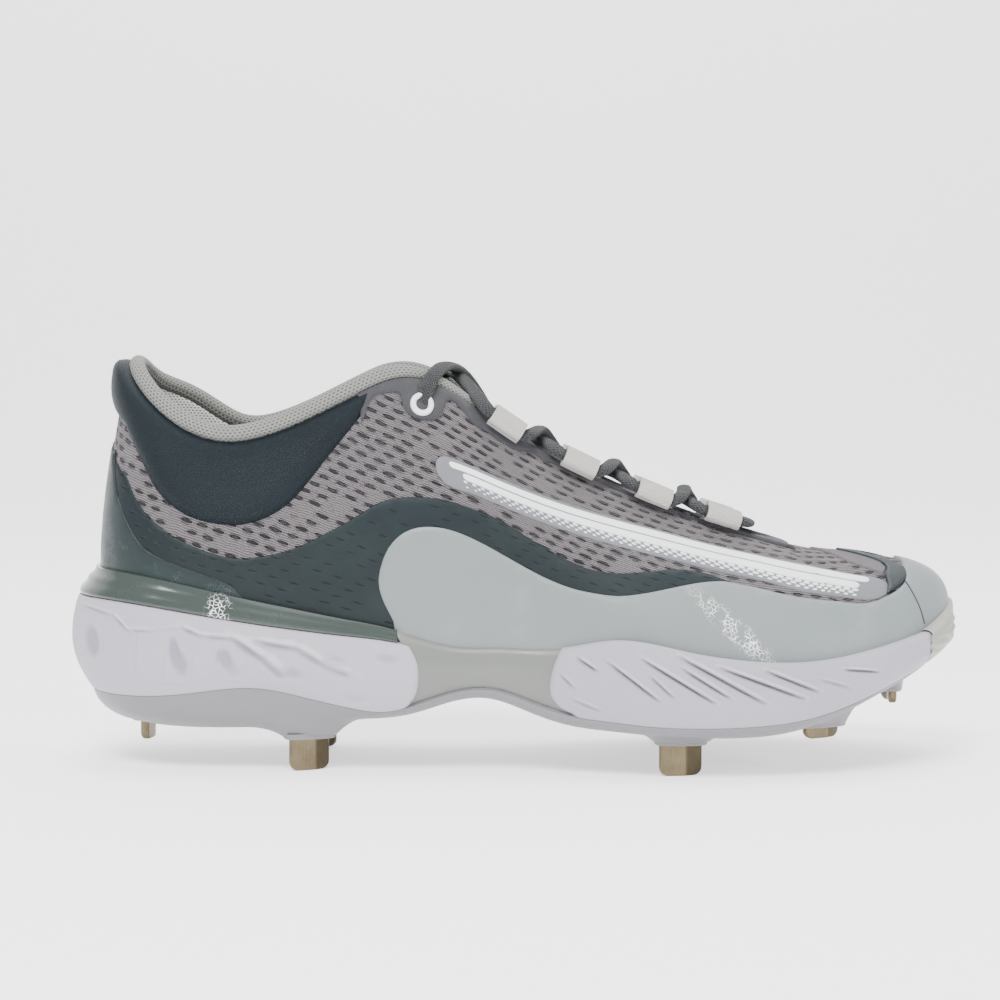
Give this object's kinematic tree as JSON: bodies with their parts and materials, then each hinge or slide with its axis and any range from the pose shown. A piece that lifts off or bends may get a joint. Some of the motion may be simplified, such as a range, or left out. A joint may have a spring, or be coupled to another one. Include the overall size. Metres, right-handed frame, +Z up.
{
  "type": "baseball cleat",
  "caption": "Right-foot low-cut baseball cleat: hollow mesh upper with padded collar, side films and webbing lace loops, on split foam with a heel rail and metal studs.",
  "frame": {"origin": "bottom centre of the bounding box, on the plane the studs stand on", "axes": "+X towards the toe, +Y towards the inner (medial) side of this right shoe, +Z up"},
  "size_m": [0.3, 0.105, 0.1388],
  "materials": {
    "mesh": "knit mesh, grey",
    "neoprene": "smooth padded neoprene",
    "lining": "light knit",
    "film": "dark grey-green film",
    "guard": "light grey film",
    "stay": "dark grey microfibre",
    "tongue": "padded, dark grey",
    "lace": "woven, dark grey",
    "webbing": "ribbed cream webbing",
    "eyelet": "white",
    "foam": "light grey foam",
    "rail": "glossy grey-green",
    "bumper": "light warm grey",
    "plate": "satin grey plastic",
    "metal": "nickel-bronze"
  },
  "bodies": {
    "root": {"upper": "mesh", "collar_pad": "neoprene", "collar_lining": "lining", "quarter_outer": "film", "quarter_inner": "film", "heel_counter": "film", "toe_guard": "guard", "eyestay_outer": "stay", "eyestay_inner": "stay", "eyelet_outer": "eyelet", "eyelet_inner": "eyelet", "tongue": "tongue", "insole": "lining", "lace": "lace", "midsole_heel": "foam", "midsole_forefoot": "foam", "heel_rail": "rail", "toe_bumper": "bumper", "outsole_plate": "plate", "lace_loop_outer_1": "webbing", "lace_loop_outer_2": "webbing", "lace_loop_outer_3": "webbing", "lace_loop_outer_4": "webbing", "lace_loop_inner_1": "webbing", "lace_loop_inner_2": "webbing", "lace_loop_inner_3": "webbing", "lace_loop_inner_4": "webbing", "stud_heel_outer": "metal", "stud_heel_inner": "metal", "stud_heel_back": "metal", "stud_ball_outer": "metal", "stud_ball_inner": "metal", "stud_fore_outer": "metal", "stud_fore_inner": "metal", "stud_toe": "metal"}
  },
  "joints": []
}
